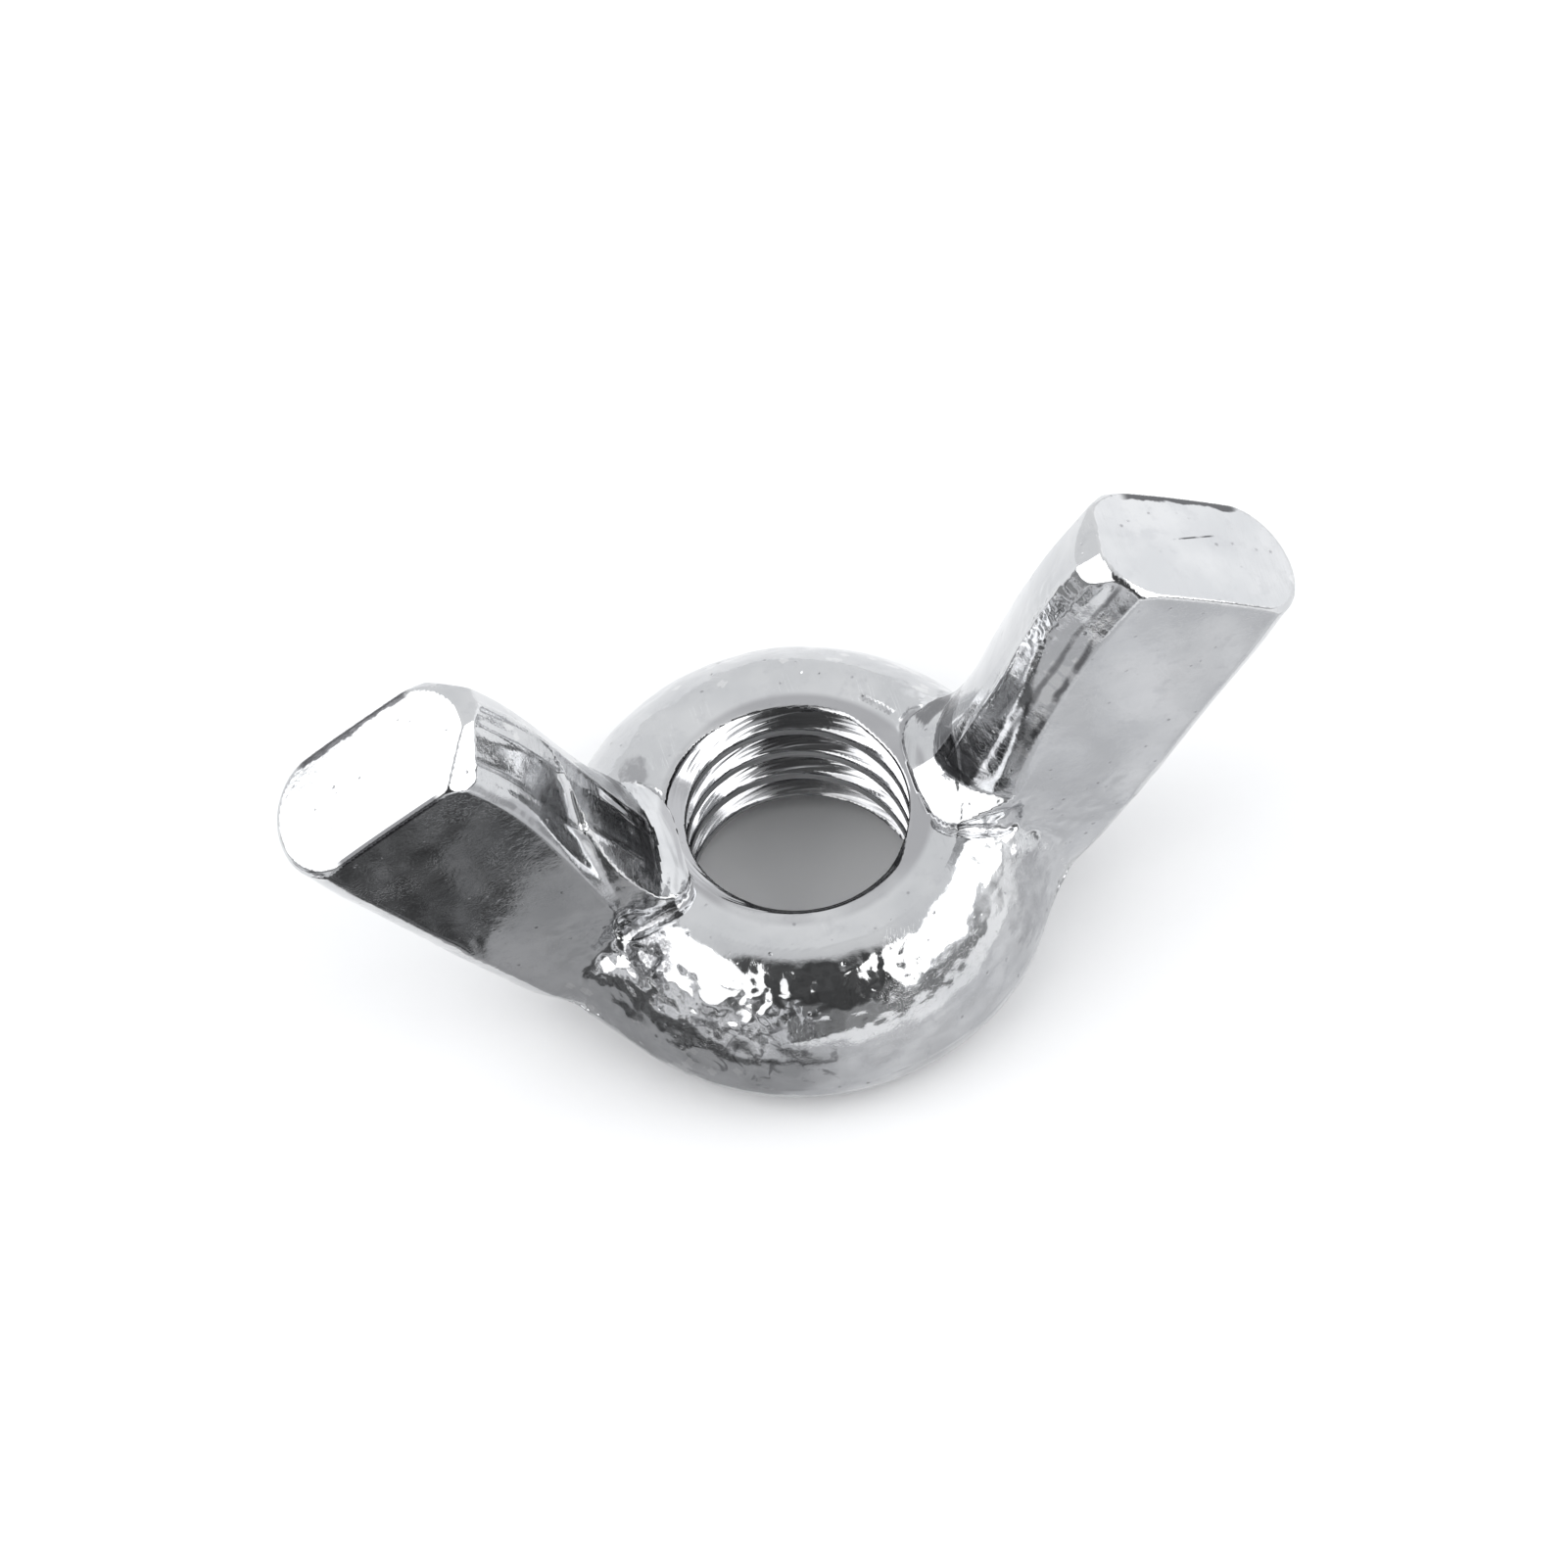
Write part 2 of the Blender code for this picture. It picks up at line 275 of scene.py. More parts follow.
def surface_net(shape, low, high, cell, chunk=24):
    """One vertex in each cell that the surface crosses, and a quad over each grid edge that it crosses."""
    n = [int(math.ceil((b - a) / cell)) + 1 for a, b in zip(low, high)]
    axes = [low[i] + cell * np.arange(n[i]) for i in range(3)]
    field = np.empty(n, np.float32)
    for s in range(0, n[0], chunk):
        e = min(s + chunk, n[0])
        grid = np.empty((e - s, n[1], n[2], 3), np.float32)
        grid[..., 0] = axes[0][s:e, None, None]
        grid[..., 1] = axes[1][None, :, None]
        grid[..., 2] = axes[2][None, None, :]
        field[s:e] = shape(grid)
    inside = field < 0
    cells = np.zeros([k - 1 for k in n], np.int8)
    for dx in (0, 1):
        for dy in (0, 1):
            for dz in (0, 1):
                cells += inside[dx : n[0] - 1 + dx, dy : n[1] - 1 + dy, dz : n[2] - 1 + dz]
    active = (cells > 0) & (cells < 8)
    idx = np.argwhere(active)
    number = np.full(active.shape, -1, np.int64)
    number[active] = np.arange(len(idx))
    total = np.zeros((len(idx), 3))
    count = np.zeros(len(idx))
    corners = [(dx, dy, dz) for dx in (0, 1) for dy in (0, 1) for dz in (0, 1)]
    for axis in range(3):
        for c in corners:
            if c[axis]:
                continue
            d = list(c)
            d[axis] = 1
            fa = field[idx[:, 0] + c[0], idx[:, 1] + c[1], idx[:, 2] + c[2]].astype(float)
            fb = field[idx[:, 0] + d[0], idx[:, 1] + d[1], idx[:, 2] + d[2]].astype(float)
            cross = (fa < 0) != (fb < 0)
            t = np.where(cross, fa / np.where(cross, fa - fb, 1.0), 0.0)
            point = np.tile(np.array(c, float), (len(idx), 1))
            point[:, axis] += t
            total[cross] += point[cross]
            count[cross] += 1
    verts = (idx + total / count[:, None]) * cell + np.array(low)
    quads = []
    for axis in range(3):
        a = [slice(None)] * 3
        b = [slice(None)] * 3
        a[axis] = slice(0, -1)
        b[axis] = slice(1, None)
        sa, sb = inside[tuple(a)], inside[tuple(b)]
        u, v = (axis + 1) % 3, (axis + 2) % 3
        e = np.argwhere(sa != sb)
        e = e[(e[:, u] > 0) & (e[:, v] > 0) & (e[:, u] < n[u] - 1) & (e[:, v] < n[v] - 1)]
        ring = []
        for du, dv in ((-1, -1), (0, -1), (0, 0), (-1, 0)):
            c = e.copy()
            c[:, u] += du
            c[:, v] += dv
            ring.append(number[c[:, 0], c[:, 1], c[:, 2]])
        ring = np.stack(ring, 1)
        out = sa[e[:, 0], e[:, 1], e[:, 2]]
        ring[~out] = ring[~out][:, ::-1]
        quads.append(ring)
    return verts, np.concatenate(quads)


def gradient(shape, P, e=2e-3):
    g = np.empty_like(P)
    for i in range(3):
        d = np.zeros(3)
        d[i] = e
        g[:, i] = (shape(P + d) - shape(P - d)) / (2 * e)
    return g


def settle(shape, verts, quads, rounds, relax=0.5):
    """Spreads the vertices evenly along the surface and puts each one exactly on it."""
    edges = np.concatenate([quads[:, [0, 1]], quads[:, [1, 2]], quads[:, [2, 3]], quads[:, [3, 0]]])
    n = len(verts)
    degree = np.bincount(edges[:, 0], minlength=n) + np.bincount(edges[:, 1], minlength=n)
    for turn in range(rounds):
        g = gradient(shape, verts)
        length = np.maximum((g * g).sum(1), 0.05)
        f = shape(verts)
        verts = verts - g * (f / length)[:, None]
        if turn == rounds - 1:
            break
        mean = np.zeros_like(verts)
        for i in range(3):
            mean[:, i] = np.bincount(edges[:, 0], weights=verts[edges[:, 1], i], minlength=n)
            mean[:, i] += np.bincount(edges[:, 1], weights=verts[edges[:, 0], i], minlength=n)
        mean /= degree[:, None]
        move = mean - verts
        unit = g / np.sqrt(length)[:, None]
        move -= unit * (move * unit).sum(1)[:, None]
        verts = verts + relax * move
    return verts


def build_nut():
    cell = 0.10
    verts, quads = surface_net(nut, (-15.9, -8.1, -0.25), (15.9, 8.1, 15.6), cell)
    verts = settle(nut, verts, quads, 5)
    verts = settle(worn_nut, verts, quads, 1)
    g = gradient(worn_nut, verts)
    normals = g / np.linalg.norm(g, axis=1)[:, None]
    mesh = bpy.data.meshes.new("wing_nut_forged")
    mesh.vertices.add(len(verts))
    mesh.vertices.foreach_set("co", (verts * MM).astype(np.float32).ravel())
    mesh.loops.add(quads.size)
    mesh.loops.foreach_set("vertex_index", quads.astype(np.int32).ravel())
    mesh.polygons.add(len(quads))
    mesh.polygons.foreach_set("loop_start", np.arange(0, quads.size, 4, dtype=np.int32))
    mesh.polygons.foreach_set("loop_total", np.full(len(quads), 4, np.int32))
    mesh.update(calc_edges=True)
    mesh.validate()
    mesh.shade_smooth()
    mesh.normals_split_custom_set_from_vertices(normals.astype(np.float32))
    obj = bpy.data.objects.new("wing_nut_forged", mesh)
    bpy.context.scene.collection.objects.link(obj)
    return obj


# ---------------------------------------------------------------------------
# Finish: bright plated steel with an orange-peel skin, fine pits, handling scratches and worn edges.
# ---------------------------------------------------------------------------


class Graph:
    """Short names for making shader nodes."""

    def __init__(self, tree):
        self.tree = tree

    def node(self, kind, **settings):
        n = self.tree.nodes.new(kind)
        for key, value in settings.items():
            setattr(n, key, value)
        return n

    def feed(self, socket, value):
        if hasattr(value, "is_output"):
            self.tree.links.new(value, socket)
        else:
            socket.default_value = value

    def math(self, operation, a, b=0.0, c=0.0, clamp=False):
        n = self.node("ShaderNodeMath", operation=operation, use_clamp=clamp)
        for socket, value in zip(n.inputs, (a, b, c)):
            self.feed(socket, value)
        return n.outputs[0]

    def span(self, value, low, high, to_low=0.0, to_high=1.0):
        n = self.node("ShaderNodeMapRange", interpolation_type="SMOOTHSTEP")
        for key, v in zip(("Value", "From Min", "From Max", "To Min", "To Max"), (value, low, high, to_low, to_high)):
            self.feed(n.inputs[key], v)
        return n.outputs[0]

    def noise(self, vector, scale, detail=2.0, roughness=0.5, distortion=0.0):
        n = self.node("ShaderNodeTexNoise")
        self.feed(n.inputs["Vector"], vector)
        for key, v in zip(("Scale", "Detail", "Roughness", "Distortion"), (scale, detail, roughness, distortion)):
            self.feed(n.inputs[key], v)
        return n.outputs["Fac"]

    def stretch(self, vector, scale, turn=(0.0, 0.0, 0.0)):
        n = self.node("ShaderNodeMapping")
        self.feed(n.inputs["Vector"], vector)
        n.inputs["Scale"].default_value = scale
        n.inputs["Rotation"].default_value = turn
        return n.outputs[0]

    def mix(self, factor, a, b):
        n = self.node("ShaderNodeMix", data_type="RGBA")
        self.feed(n.inputs["Factor"], factor)
        self.feed(n.inputs["A"], a)
        self.feed(n.inputs["B"], b)
        return n.outputs["Result"]


def bright_steel():
    material = bpy.data.materials.new("bright_forged_steel")
    material.use_nodes = True
    g = Graph(material.node_tree)
    shader = material.node_tree.nodes["Principled BSDF"]
    place = g.node("ShaderNodeTexCoord").outputs["Object"]
    mm = g.node("ShaderNodeVectorMath", operation="SCALE")
    g.feed(mm.inputs[0], place)
    mm.inputs["Scale"].default_value = 1000.0
    mm = mm.outputs[0]
    parts = g.node("ShaderNodeSeparateXYZ")
    g.feed(parts.inputs[0], mm)
    x, y, z = parts.outputs
    radius = g.math("SQRT", g.math("ADD", g.math("MULTIPLY", x, x), g.math("MULTIPLY", y, y)))
    in_bore = g.span(radius, 4.25, 4.0)
    low = g.span(z, 2.6, 0.4)
    skin = g.math("SUBTRACT", 1.0, in_bore)
    edge = g.node("ShaderNodeNewGeometry").outputs["Pointiness"]
    worn = g.span(edge, 0.515, 0.56)
    shaded_hollows = g.span(edge, 0.485, 0.45)

    # Fine lines that the tap left in the bore; then large soft patches, small mottling, fine grain.
    chatter = g.noise(g.stretch(mm, (0.22, 0.22, 6.5)), 1.0, 2.0, 0.6)
    patches = g.noise(mm, 0.34, 3.0, 0.55)
    mottle = g.noise(mm, 1.5, 4.0, 0.6)
    grain = g.noise(mm, 9.0, 3.0, 0.6)

    # Pits: small round hollows, only here and there.
    cells = g.node("ShaderNodeTexVoronoi", feature="F1")
    g.feed(cells.inputs["Vector"], mm)
    cells.inputs["Scale"].default_value = 2.3
    pit = g.math("MULTIPLY", g.span(cells.outputs["Distance"], 0.20, 0.05), g.span(mottle, 0.50, 0.62))

    # Handling scratches, thin and long, in two directions.
    scratch = None
    for turn, reach in (((0.3, 0.2, 0.5), 0.06), ((1.1, 0.5, -0.7), 0.08)):
        lines = g.noise(g.stretch(mm, (6.5, reach * 6, 6.5), turn), 1.0, 1.0, 0.5, 0.3)
        near = g.math("ABSOLUTE", g.math("SUBTRACT", lines, 0.5))
        thin = g.math("MULTIPLY", g.span(near, 0.010, 0.002), g.span(g.noise(g.stretch(mm, (0.5, 0.2, 0.5), turn), 1.0, 1.0), 0.52, 0.66))
        scratch = thin if scratch is None else g.math("MAXIMUM", scratch, thin)

    tone = g.mix(g.span(patches, 0.35, 0.68), (0.545, 0.552, 0.563, 1), (0.625, 0.629, 0.636, 1))
    tone = g.mix(g.math("MULTIPLY", g.span(mottle, 0.5, 0.72), 0.5), tone, (0.50, 0.505, 0.52, 1))
    tone = g.mix(g.math("MULTIPLY", pit, 0.7), tone, (0.26, 0.26, 0.27, 1))
    # Painted shade: the hollows get a darker base colour.
    tone = g.mix(g.math("MULTIPLY", shaded_hollows, 0.55), tone, (0.20, 0.20, 0.21, 1))
    tone = g.mix(g.math("MULTIPLY", worn, 0.6), tone, (0.72, 0.72, 0.72, 1))
    tone = g.mix(g.math("MULTIPLY", in_bore, g.span(chatter, 0.62, 0.42, 0.1, 0.75)), tone, (0.34, 0.34, 0.35, 1))
    # Painted shade where each wing rises out of its foot and behind the feet, and painted darkening that dims the
    # bright reflections on the front of the hub's shoulders.
    blot_wobble = g.math("MULTIPLY", g.math("SUBTRACT", g.noise(g.stretch(mm, (1.0, 0.35, 2.6)), 1.6, 3.0, 0.6), 0.5), 1.6)

    def blot(u, cu, ru, cv, rv, cw, rw):
        squares = [g.math("POWER", g.math("ABSOLUTE", g.math("DIVIDE", g.math("SUBTRACT", v, c), k)), 2.0) for v, c, k in ((u, cu, ru), (y, cv, rv), (z, cw, rw))]
        away = g.math("SQRT", g.math("ADD", g.math("ADD", squares[0], squares[1]), squares[2]))
        return g.span(g.math("ADD", away, blot_wobble), 1.12, 0.80)

    painted_shade = blot(g.math("ABSOLUTE", x), 5.10, 0.85, 0.45, 1.95, 6.75, 0.68)
    painted_shade = g.math("MAXIMUM", painted_shade, blot(x, 4.85, 0.80, 2.0, 0.62, 5.85, 0.55))
    painted_shade = g.math("MAXIMUM", painted_shade, g.math("MULTIPLY", blot(x, -4.35, 0.50, 2.95, 0.62, 5.40, 0.40), g.span(mottle, 0.40, 0.58, 0.1, 0.55)))
    painted_shade = g.math("MAXIMUM", painted_shade, g.math("MULTIPLY", blot(x, -5.75, 0.85, -3.15, 0.80, 4.60, 1.05), g.span(grain, 0.36, 0.56, 0.35, 1.0)))
    dimmed_shoulder = g.math("MULTIPLY", blot(x, 6.1, 1.3, -3.7, 1.5, 3.4, 1.8), g.span(mottle, 0.38, 0.60, 0.12, 0.34))
    painted_shade = g.math("MAXIMUM", painted_shade, dimmed_shoulder)
    # Painted dark reflections: short dark streaks over the crumpled lower side of the hub.
    painted_streaks = g.math("ABSOLUTE", g.math("SUBTRACT", g.noise(g.stretch(mm, (1.0, 1.0, 1.3), (0.4, 0.0, 0.5)), 0.85, 2.0, 0.5, 0.9), 0.5))
    painted_streaks = g.math("MULTIPLY", g.span(painted_streaks, 0.055, 0.015), g.span(mottle, 0.42, 0.56))
    painted_streaks = g.math("MULTIPLY", painted_streaks, blot(x, -2.9, 2.6, -6.3, 2.0, 2.9, 1.15))
    painted_shade = g.math("MAXIMUM", painted_shade, g.math("MULTIPLY", painted_streaks, 0.75))
    # The painted shade and the painted dark streaks darken the base colour here.
    tone = g.mix(g.math("MULTIPLY", painted_shade, 0.80), tone, (0.13, 0.13, 0.137, 1))
    # The far rim of each end face is chipped and dark, and one face carries a short scratch.
    across = g.math("ABSOLUTE", x)
    h = g.math("ADD", g.math("MULTIPLY", g.math("SUBTRACT", across, TIP[0]), AX[0]), g.math("MULTIPLY", g.math("SUBTRACT", z, TIP[1]), AX[1]))
    w = g.math("ADD", g.math("MULTIPLY", g.math("SUBTRACT", across, TIP[0]), OUT[0]), g.math("MULTIPLY", g.math("SUBTRACT", z, TIP[1]), OUT[1]))
    ragged = g.math("ADD", y, g.math("MULTIPLY", g.math("SUBTRACT", g.noise(mm, 1.6, 3.0), 0.46), 0.50))
    chip = g.math("MULTIPLY", g.span(ragged, 1.68, 1.76), g.span(h, -0.34, -0.22))
    chip = g.math("MULTIPLY", chip, g.math("MULTIPLY", g.span(w, -1.9, -1.5), g.span(w, 2.7, 2.3)))
    near = g.math("MULTIPLY", g.span(y, -1.80, -1.86), g.math("MULTIPLY", g.span(h, -0.30, -0.20), g.span(x, 0.0, -1.0)))
    near = g.math("MULTIPLY", near, g.math("MULTIPLY", g.span(w, -1.8, -1.4), g.span(w, 2.5, 2.1)))
    chip = g.math("MAXIMUM", chip, near)
    line = g.math("ABSOLUTE", g.math("SUBTRACT", g.math("SUBTRACT", y, 0.35), g.math("MULTIPLY", w, 0.2)))
    line = g.math("MULTIPLY", g.span(line, 0.045, 0.015), g.math("MULTIPLY", g.span(w, -0.55, -0.25), g.span(w, 1.25, 0.95)))
    line = g.math("MULTIPLY", line, g.math("MULTIPLY", g.span(h, -0.3, -0.2), g.span(x, 0.0, 1.0)))
    line = g.math("MULTIPLY", line, g.span(mottle, 0.36, 0.5))
    # Painted shade: dark lines in the folds between each wing's inner edge and its flat side.
    inward = g.math("MAXIMUM", g.math("MINIMUM", h, 0.0), -12.0)
    fold = g.math("MULTIPLY_ADD", inward, -0.000027, -0.001412)
    for term in (0.004971, 0.060106, -2.501):
        fold = g.math("MULTIPLY_ADD", fold, inward, term)
    fold = g.math("ADD", fold, g.math("MULTIPLY_ADD", g.span(h, -1.0, -8.0), g.span(x, 1.0, -1.0, 0.17, 0.45), 0.25))
    fold = g.math("SUBTRACT", g.math("ADD", w, g.math("MULTIPLY", g.math("SUBTRACT", g.noise(mm, 0.8, 2.0), 0.5), 0.25)), fold)
    fold_shade = g.span(g.math("ABSOLUTE", g.math("ADD", fold, 0.16)), 0.13, 0.03)
    fold_shade = g.math("MAXIMUM", fold_shade, g.math("MULTIPLY", g.span(g.math("ABSOLUTE", g.math("ADD", fold, 0.60)), 0.11, 0.02), 0.8))
    fold_shade = g.math("MULTIPLY", fold_shade, g.math("MULTIPLY", g.span(y, -0.9, -1.2), g.span(x, -1.0, 1.0, 0.55, 1.0)))
    fold_shade = g.math("MULTIPLY", fold_shade, g.math("MULTIPLY", g.span(h, -0.15, -0.6), g.span(h, -9.0, -7.0)))
    fold_shade = g.math("MULTIPLY", fold_shade, g.span(g.noise(mm, 1.3, 3.0), 0.36, 0.52, 0.25, 1.0))
    tone = g.mix(g.math("MULTIPLY", fold_shade, 0.85), tone, (0.10, 0.10, 0.105, 1))
    tone = g.mix(g.math("MULTIPLY", g.math("MAXIMUM", chip, line), 0.9), tone, (0.06, 0.06, 0.065, 1))
    g.feed(shader.inputs["Base Color"], tone)
    shader.inputs["Metallic"].default_value = 1.0
    rough = g.span(mottle, 0.3, 0.75, 0.055, 0.13)
    rough = g.math("ADD", rough, g.math("MULTIPLY", g.span(grain, 0.45, 0.75), 0.05))
    rough = g.math("ADD", rough, g.math("MULTIPLY", low, 0.10))
    rough = g.math("ADD", rough, g.math("MULTIPLY", shaded_hollows, 0.12))
    rough = g.math("ADD", rough, g.math("MULTIPLY", painted_shade, 0.08))
    rough = g.math("ADD", rough, g.math("MULTIPLY", scratch, 0.06), clamp=True)
    g.feed(shader.inputs["Roughness"], rough)

    height = g.math("MULTIPLY", g.math("SUBTRACT", mottle, 0.5), 0.010)
    height = g.math("ADD", height, g.math("MULTIPLY", grain, 0.0016))
    height = g.math("SUBTRACT", height, g.math("MULTIPLY", pit, 0.012))
    height = g.math("SUBTRACT", height, g.math("MULTIPLY", scratch, 0.0012))
    height = g.math("MULTIPLY", height, g.math("ADD", g.math("MULTIPLY", skin, 0.85), 0.15))
    height = g.math("ADD", height, g.math("MULTIPLY", g.math("MULTIPLY", chatter, in_bore), 0.032))
    bump = g.node("ShaderNodeBump")
    bump.inputs["Strength"].default_value = 1.0
    bump.inputs["Distance"].default_value = MM
    g.feed(bump.inputs["Height"], height)
    g.feed(shader.inputs["Normal"], bump.outputs[0])
    return material


nut_object = build_nut()
nut_object.data.materials.append(bright_steel())
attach(nut_object, "root")
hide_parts("wing_nut")

# ---------------------------------------------------------------------------
# Studio: white sweep, two large softboxes, pale back and top, dim room beyond the front edge.
# ---------------------------------------------------------------------------


def heading(azimuth, zenith):
    """Unit vector. Azimuth in degrees from +X towards +Y, zenith from straight up."""
    a, e = math.radians(azimuth), math.radians(zenith)
    return Vector((math.cos(a) * math.sin(e), math.sin(a) * math.sin(e), math.cos(e)))


def staged(name, points, faces, material):
    mesh = bpy.data.meshes.new(name)
    mesh.from_pydata([tuple(p) for p in points], [], faces)
    mesh.shade_smooth()
    obj = bpy.data.objects.new(name, mesh)
    bpy.context.scene.collection.objects.link(obj)
    mesh.materials.append(material)
    return obj


def paper():
    material = bpy.data.materials.new("white_paper")
    material.use_nodes = True
    g = Graph(material.node_tree)
    shader = material.node_tree.nodes["Principled BSDF"]
    place = g.node("ShaderNodeTexCoord").outputs["Object"]
    cloud = g.noise(place, 9.0, 1.0)
    tooth = g.noise(place, 2600.0, 1.0)
    g.feed(shader.inputs["Base Color"], g.mix(cloud, (0.86, 0.865, 0.87, 1), (0.90, 0.90, 0.905, 1)))
    g.feed(shader.inputs["Roughness"], g.span(tooth, 0.2, 0.8, 0.62, 0.78))
    shader.inputs["Specular IOR Level"].default_value = 0.15
    bump = g.node("ShaderNodeBump")
    bump.inputs["Strength"].default_value = 0.08
    bump.inputs["Distance"].default_value = 0.0001
    g.feed(bump.inputs["Height"], tooth)
    g.feed(shader.inputs["Normal"], bump.outputs[0])
    return material


def glow(name, low, high, scale, strength=1.0):
    """A card that gives its own light, unevenly."""
    material = bpy.data.materials.new(name)
    material.use_nodes = True
    tree = material.node_tree
    g = Graph(tree)
    tree.nodes.remove(tree.nodes["Principled BSDF"])
    place = g.node("ShaderNodeTexCoord").outputs["Object"]
    cloud = g.noise(place, scale, 3.0, 0.6)
    lamp = g.node("ShaderNodeEmission")
    g.feed(lamp.inputs["Color"], g.mix(g.span(cloud, 0.40, 0.60), low, high))
    lamp.inputs["Strength"].default_value = strength
    g.feed(tree.nodes["Material Output"].inputs["Surface"], lamp.outputs[0])
    return material


def only_in_reflections(obj):
    obj.visible_camera = False
    obj.visible_diffuse = False
    obj.visible_shadow = False
    obj.visible_transmission = False


def softbox(name, azimuth, zenith, distance, width, height, power):
    data = bpy.data.lights.new(name, "AREA")
    data.shape = "RECTANGLE"
    data.size, data.size_y = width, height
    data.energy = power
    obj = bpy.data.objects.new(name, data)
    bpy.context.scene.collection.objects.link(obj)
    place = heading(azimuth, zenith) * distance
    obj.location = place
    obj.rotation_euler = (-place).to_track_quat("-Z", "Y").to_euler()
    obj.visible_camera = False


def sky():
    """What the metal mirrors above the table: pale behind and overhead, dim in front."""
    world = bpy.data.worlds.new("studio")
    bpy.context.scene.world = world
    world.use_nodes = True
    g = Graph(world.node_tree)
    back = world.node_tree.nodes["Background"]
    ray = g.node("ShaderNodeTexCoord").outputs["Generated"]
    wobble = g.noise(ray, 2.2, 2.0)

    def towards(vector):
        n = g.node("ShaderNodeVectorMath", operation="DOT_PRODUCT")
        g.feed(n.inputs[0], ray)
        n.inputs[1].default_value = tuple(vector)
        return n.outputs["Value"]

    split = g.node("ShaderNodeSeparateXYZ")
    g.feed(split.inputs[0], ray)
    height = split.outputs[2]
    front = g.math("ADD", towards(heading(-101, 51)), g.math("MULTIPLY", g.math("SUBTRACT", wobble, 0.5), 0.22))
    dark = g.span(front, 0.73, 0.88)
    low_front = g.math("MULTIPLY", g.span(height, 0.30, 0.14), g.span(towards(heading(-112, 90)), -0.25, 0.10))
    lower = g.span(height, 0.45, 0.10, 0.075, 0.30)
    lower = g.math("MULTIPLY", lower, g.span(wobble, 0.3, 0.7, 0.7, 1.35))
    top = g.span(towards(heading(-100, 30)), 0.62, 1.0, 1.02, 0.86)
    top = g.math("ADD", top, g.span(towards(heading(28, 80)), 0.86, 0.95, 0.0, 0.32))
    value = g.math("ADD", g.math("MULTIPLY", top, g.math("SUBTRACT", 1.0, g.math("MAXIMUM", dark, low_front))), g.math("MULTIPLY", lower, g.math("MAXIMUM", dark, low_front)))
    colour = g.node("ShaderNodeCombineColor")
    for i, k in enumerate((0.985, 0.995, 1.01)):
        g.feed(colour.inputs[i], g.math("MULTIPLY", value, k))
    g.feed(back.inputs["Color"], colour.outputs[0])
    back.inputs["Strength"].default_value = 1.0


def sweep():
    """Round white floor that turns up into a wall far away; the wall is only there for the camera."""
    n = 96
    floor_r, wall_r = 0.50, 0.80
    ring = [(math.cos(2 * math.pi * i / n), math.sin(2 * math.pi * i / n)) for i in range(n)]
    floor = [(0, 0, 0)] + [(floor_r * c, floor_r * s, 0) for c, s in ring]
    staged("studio_floor", floor, [(0, 1 + i, 1 + (i + 1) % n) for i in range(n)], paper())
    profile = [(floor_r, 0.0)] + [(floor_r + 0.3 * math.sin(a), 0.3 - 0.3 * math.cos(a)) for a in (0.3, 0.6, 0.9, 1.2, 1.5708)] + [(wall_r, 1.1)]
    points = [(r * c, r * s, h) for r, h in profile for c, s in ring]
    faces = []
    for k in range(len(profile) - 1):
        for i in range(n):
            j = (i + 1) % n
            faces.append((k * n + i, k * n + j, (k + 1) * n + j, (k + 1) * n + i))
    wall = staged("studio_wall", points, faces, glow("white_wall", (0.97, 0.97, 0.97, 1), (0.99, 0.99, 0.99, 1), 1.0))
    wall.visible_diffuse = False
    wall.visible_glossy = False
    wall.visible_shadow = False


def emission_card(name, tone):
    """A card's own light from a tone worked out in millimetres by tone(g, x, y, z)."""
    material = bpy.data.materials.new(name)
    material.use_nodes = True
    tree = material.node_tree
    g = Graph(tree)
    tree.nodes.remove(tree.nodes["Principled BSDF"])
    mm = g.node("ShaderNodeVectorMath", operation="SCALE")
    g.feed(mm.inputs[0], g.node("ShaderNodeTexCoord").outputs["Object"])
    mm.inputs["Scale"].default_value = 1000.0
    parts = g.node("ShaderNodeSeparateXYZ")
    g.feed(parts.inputs[0], mm.outputs[0])
    grey = g.node("ShaderNodeCombineColor")
    value = tone(g, mm.outputs[0], *parts.outputs)
    for i, k in enumerate((0.985, 0.995, 1.02)):
        g.feed(grey.inputs[i], g.math("MULTIPLY", value, k))
    lamp = g.node("ShaderNodeEmission")
    g.feed(lamp.inputs["Color"], grey.outputs[0])
    g.feed(tree.nodes["Material Output"].inputs["Surface"], lamp.outputs[0])
    return material


def floor_shade_tone(g, mm, x, y, z):
    """Painted shade of the floor round the nut, with a painted dark neighbour: dark and speckled far under the left
    wing, an even grey next to it, paler round to the right.
    """
    speckle = g.noise(mm, 1.1, 4.0, 0.65)
    line = g.math("ADD", y, g.math("ADD", 6.2 + 1.03 * 10.3, g.math("MULTIPLY", x, 1.03)))
    line = g.math("ADD", line, g.math("MULTIPLY", g.math("SUBTRACT", speckle, 0.5), 2.4))
    deep = g.math("MULTIPLY", g.span(line, 0.2, -0.2), g.span(x, 2.0, -3.0))
    deep = g.math("MULTIPLY", deep, g.span(y, -16.5, -13.0))
    dark = g.span(speckle, 0.38, 0.66, 0.045, 0.24)
    pale = g.math("ADD", g.span(x, -4.5, 0.0, 0.42, 0.76), g.span(x, 1.0, 6.0, 0.0, 0.04))
    pale = g.math("ADD", pale, g.span(x, 6.5, 10.0, 0.0, 0.07))
    pale = g.math("ADD", pale, g.math("MULTIPLY", g.span(y, -13.0, -17.0, 0.0, 0.25), g.span(x, 0.0, -5.0)))
    pale = g.math("MULTIPLY", pale, g.span(g.noise(mm, 0.45, 2.0), 0.3, 0.7, 0.88, 1.12))
    return g.math("ADD", g.math("MULTIPLY", deep, dark), g.math("MULTIPLY", g.math("SUBTRACT", 1.0, deep), pale))


def far_tone(g, mm, x, y, z):
    return g.span(g.noise(mm, 0.22, 3.0, 0.6), 0.40, 0.60, 0.10, 0.95)


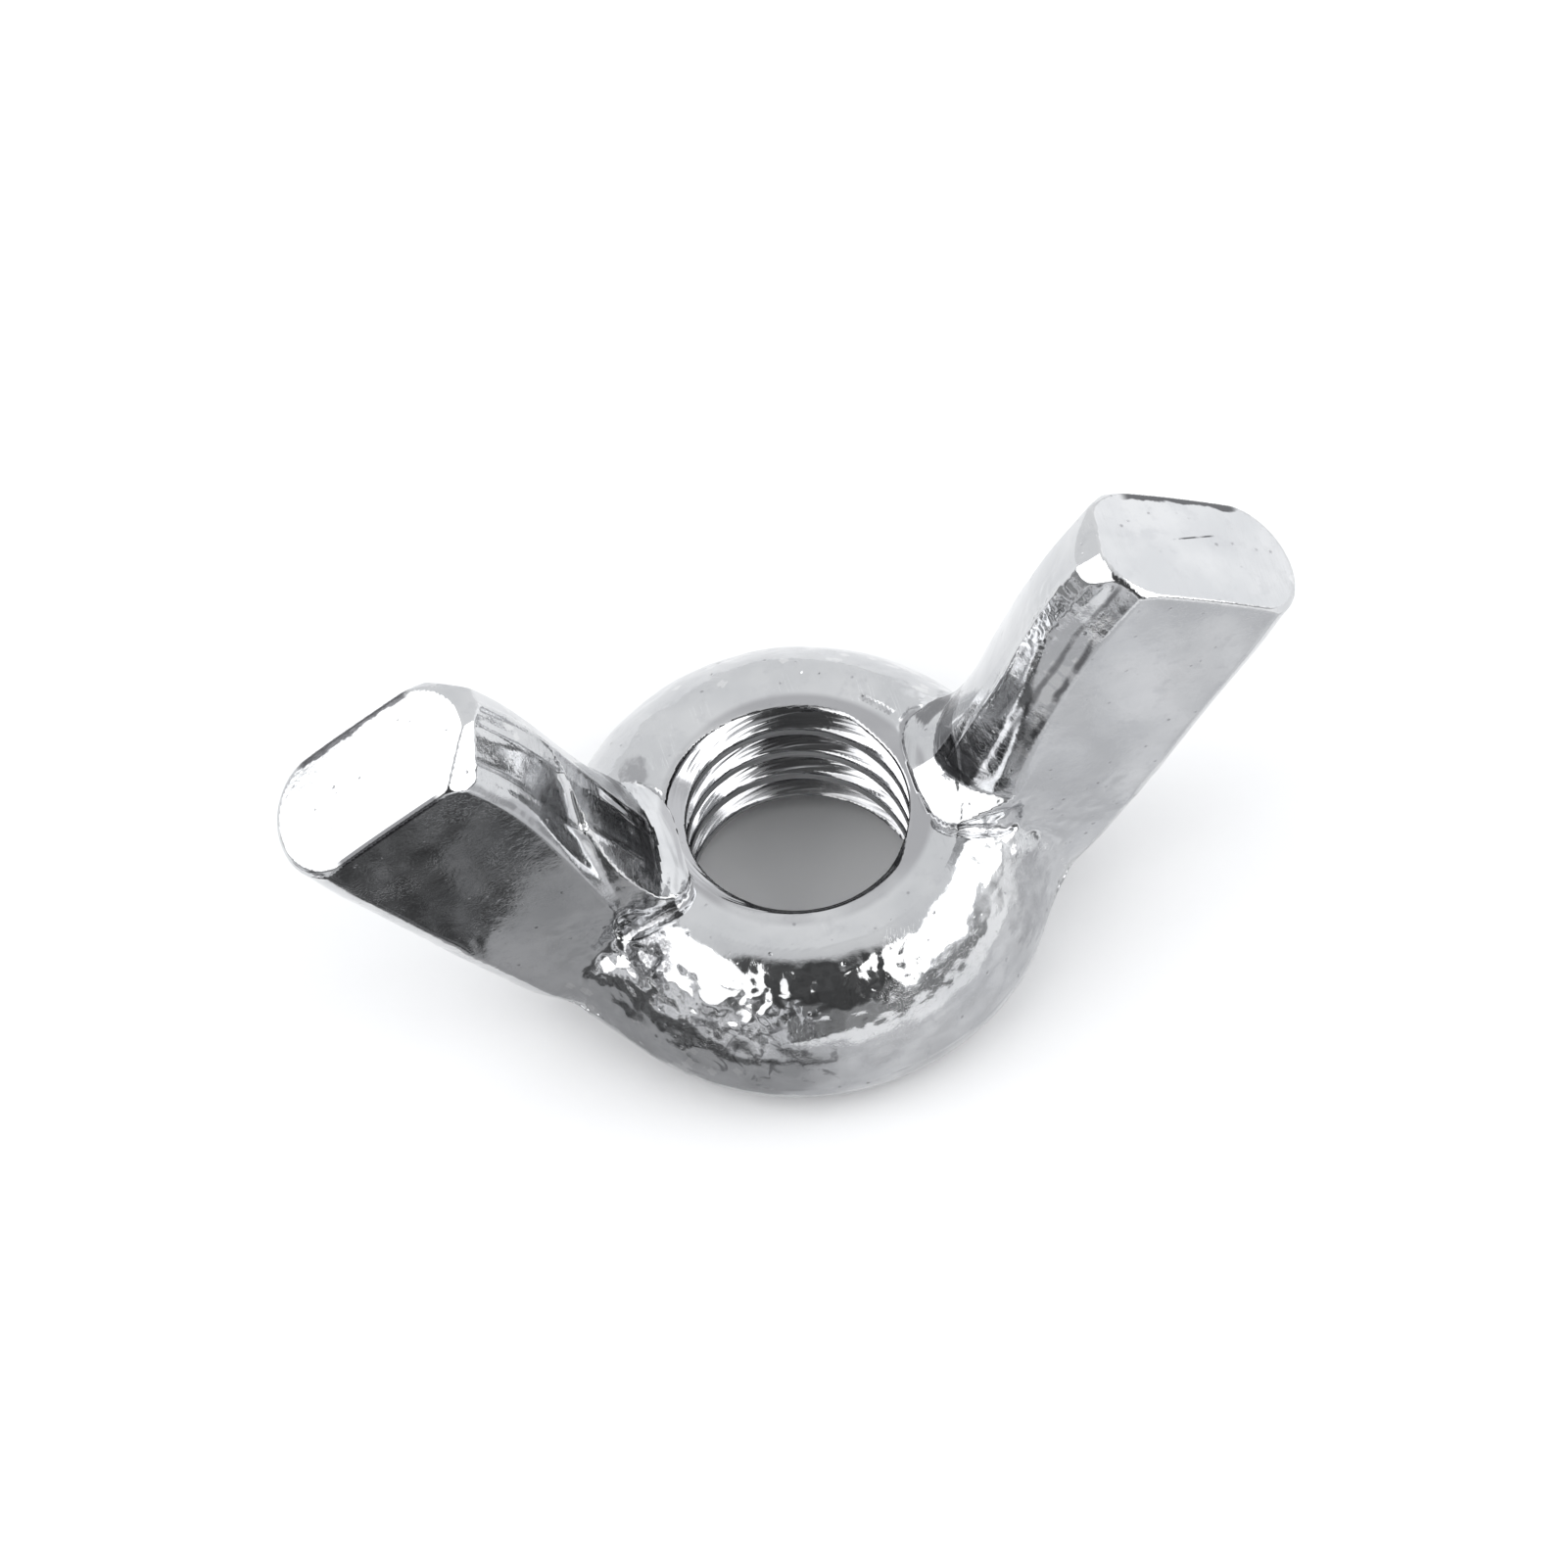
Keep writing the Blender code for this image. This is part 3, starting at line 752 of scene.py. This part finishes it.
def neighbours_and_floor_shade():
    """Glowing cards: painted floor shade round the nut, and painted stand-ins for the dull things lying round it.
    They show only as reflections in its sides.
    """
    inner = [(-26, -2.3), (-12, -2.3), (-8.2, -2.4), (-7.0, -3.4), (-5.9, -4.8), (-4.4, -6.2), (-2.6, -7.2), (-0.6, -7.6), (1.5, -7.5), (3.5, -6.8), (5.2, -5.6), (6.4, -4.2), (7.6, -2.7), (12.0, -2.6)]
    outer = [(-32, -12), (-30, -20), (-26, -26), (-22, -28), (-18, -29), (-13, -29), (-8, -28), (-3, -26), (2, -24), (8, -21), (16, -18), (22, -14), (24, -8), (24, -3)]
    points = [(0.001 * x, 0.001 * y, 0.00015) for x, y in inner + outer]
    n = len(inner)
    # Painted floor shade and a painted dark neighbour: a glowing card just above the floor.
    only_in_reflections(staged("reflected_floor_shade", points, [(i, i + 1, n + i + 1, n + i) for i in range(n - 1)], emission_card("painted_floor_shade", floor_shade_tone)))
    ring = [(-34, 6), (-36, -4), (-35, -14), (-30, -24), (-22, -31), (-12, -35)]
    points = [(0.001 * x, 0.001 * y, 0.001 * h) for h in (0.2, 12.5) for x, y in ring]
    n = len(ring)
    # Painted reflection: a glowing card that stands in for the neighbours on the left.
    only_in_reflections(staged("reflected_left", points, [(i, i + 1, n + i + 1, n + i) for i in range(n - 1)], emission_card("glowing_neighbours_left", far_tone)))


sweep()
neighbours_and_floor_shade()
softbox("softbox_left", 185, 51, 0.60, 1.06, 0.50, 2.85)
softbox("softbox_right", -32, 52, 0.60, 0.66, 0.40, 1.85)
sky()

camera_data = bpy.data.cameras.new("camera")
camera_data.sensor_width = 36.0
camera_data.lens = 278.0
camera_data.clip_start = 0.01
camera_data.clip_end = 20.0
camera = bpy.data.objects.new("camera", camera_data)
bpy.context.scene.collection.objects.link(camera)
eye = Vector((-0.0432, -0.1907, 0.3137))
forward = (Vector((-0.0002, 0.0006, 0.0060)) - eye).normalized()
roll = math.radians(4.78)
side = forward.cross(Vector((0, 0, 1))).normalized()
over = side.cross(forward) * math.cos(roll) + side * math.sin(roll)
side = forward.cross(over)
camera.matrix_world = Matrix(
    [[side[i], over[i], -forward[i], eye[i]] for i in range(3)] + [[0, 0, 0, 1]]
)
bpy.context.scene.camera = camera
bpy.context.scene.view_settings.view_transform = "Standard"
